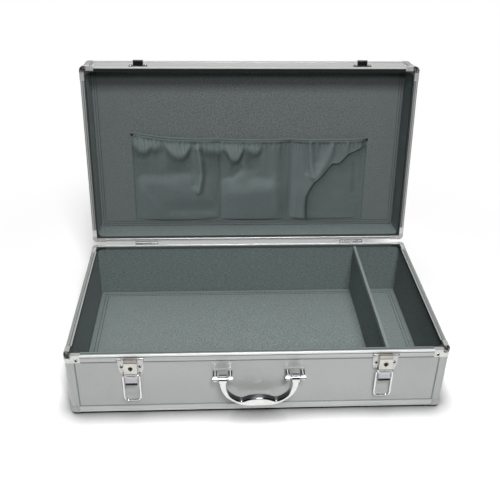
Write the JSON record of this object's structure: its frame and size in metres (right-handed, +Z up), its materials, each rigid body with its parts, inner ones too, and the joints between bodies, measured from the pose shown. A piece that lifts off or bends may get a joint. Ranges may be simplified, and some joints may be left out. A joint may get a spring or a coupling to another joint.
{
  "type": "hard carrying case",
  "caption": "Hard rectangular carrying case with silver panels, aluminium edges, a hinged lid with a gathered pocket, wire draw latches and a bow handle.",
  "frame": {"origin": "middle of the base's underside", "axes": "+X to the right seen from the front, +Y to the back where the hinges are, +Z up"},
  "size_m": [0.5484, 0.4322, 0.4167],
  "materials": {
    "panel": "silver laminate face on board",
    "aluminium": "satin anodised",
    "corner": "nickel plated",
    "lining": "grey woven lining",
    "floor": "grey padded lining",
    "lid_lining": "grey padded lining",
    "pocket": "grey gathered cloth",
    "lever": "plated pressed steel",
    "handle": "chromed casting",
    "steel": "zinc plated"
  },
  "bodies": {
    "base": {"base_back_board": "panel", "base_back_edge": "aluminium", "base_back_rim": "aluminium", "base_corner_angles": "aluminium", "base_corner_caps": "corner", "base_floor_board": "panel", "base_front_board": "panel", "base_front_edge": "aluminium", "base_front_rim": "aluminium", "base_left_board": "panel", "base_left_edge": "aluminium", "base_left_rim": "aluminium", "base_right_board": "panel", "base_right_edge": "aluminium", "base_right_rim": "aluminium", "base_rim_corners": "corner", "base_rivets": "steel", "base_wall_lining": "lining", "divider": "floor", "floor_pad": "floor", "handle_pins": "steel", "hinge_pins": "steel", "latch_pins": "steel", "left_handle_bracket": "handle", "left_hinge_base_leaf": "steel", "left_latch_plate": "steel", "right_handle_bracket": "handle", "right_hinge_base_leaf": "steel", "right_latch_plate": "steel"},
    "lid": {"left_hinge_lid_leaf": "steel", "left_keeper": "steel", "lid_back_board": "panel", "lid_back_edge": "aluminium", "lid_back_rim": "aluminium", "lid_corner_angles": "aluminium", "lid_corner_caps": "corner", "lid_front_board": "panel", "lid_front_edge": "aluminium", "lid_front_rim": "aluminium", "lid_left_board": "panel", "lid_left_edge": "aluminium", "lid_left_rim": "aluminium", "lid_pad": "lid_lining", "lid_pocket": "pocket", "lid_right_board": "panel", "lid_right_edge": "aluminium", "lid_right_rim": "aluminium", "lid_rim_corners": "corner", "lid_rivets": "steel", "lid_top_board": "panel", "lid_wall_lining": "lining", "pocket_elastic": "pocket", "right_hinge_lid_leaf": "steel", "right_keeper": "steel"},
    "handle": {"handle": "handle"},
    "left_lever": {"left_latch_lever": "lever"},
    "left_loop": {"left_latch_loop": "steel"},
    "right_lever": {"right_latch_lever": "lever"},
    "right_loop": {"right_latch_loop": "steel"}
  },
  "joints": [
    {"name": "lid_hinge", "type": "hinge", "parent": "base", "child": "lid", "pos_m": [0, 0.1538, 0.10815], "axis": [-1, 0, 0], "range_deg": [-98, 0]},
    {"name": "handle_swing", "type": "hinge", "parent": "base", "child": "handle", "pos_m": [0, -0.165, 0.074], "axis": [-1, 0, 0], "range_deg": [-10, 165]},
    {"name": "left_lever_lift", "type": "hinge", "parent": "base", "child": "left_lever", "pos_m": [-0.1805, -0.1523, 0.102], "axis": [-1, 0, 0], "range_deg": [0, 110]},
    {"name": "left_loop_swing", "type": "hinge", "parent": "left_lever", "child": "left_loop", "pos_m": [-0.1805, -0.1553, 0.0745], "axis": [1, 0, 0], "range_deg": [-180, 0]},
    {"name": "right_lever_lift", "type": "hinge", "parent": "base", "child": "right_lever", "pos_m": [0.1805, -0.1523, 0.102], "axis": [-1, 0, 0], "range_deg": [0, 110]},
    {"name": "right_loop_swing", "type": "hinge", "parent": "right_lever", "child": "right_loop", "pos_m": [0.1805, -0.1553, 0.0745], "axis": [1, 0, 0], "range_deg": [-180, 0]}
  ]
}
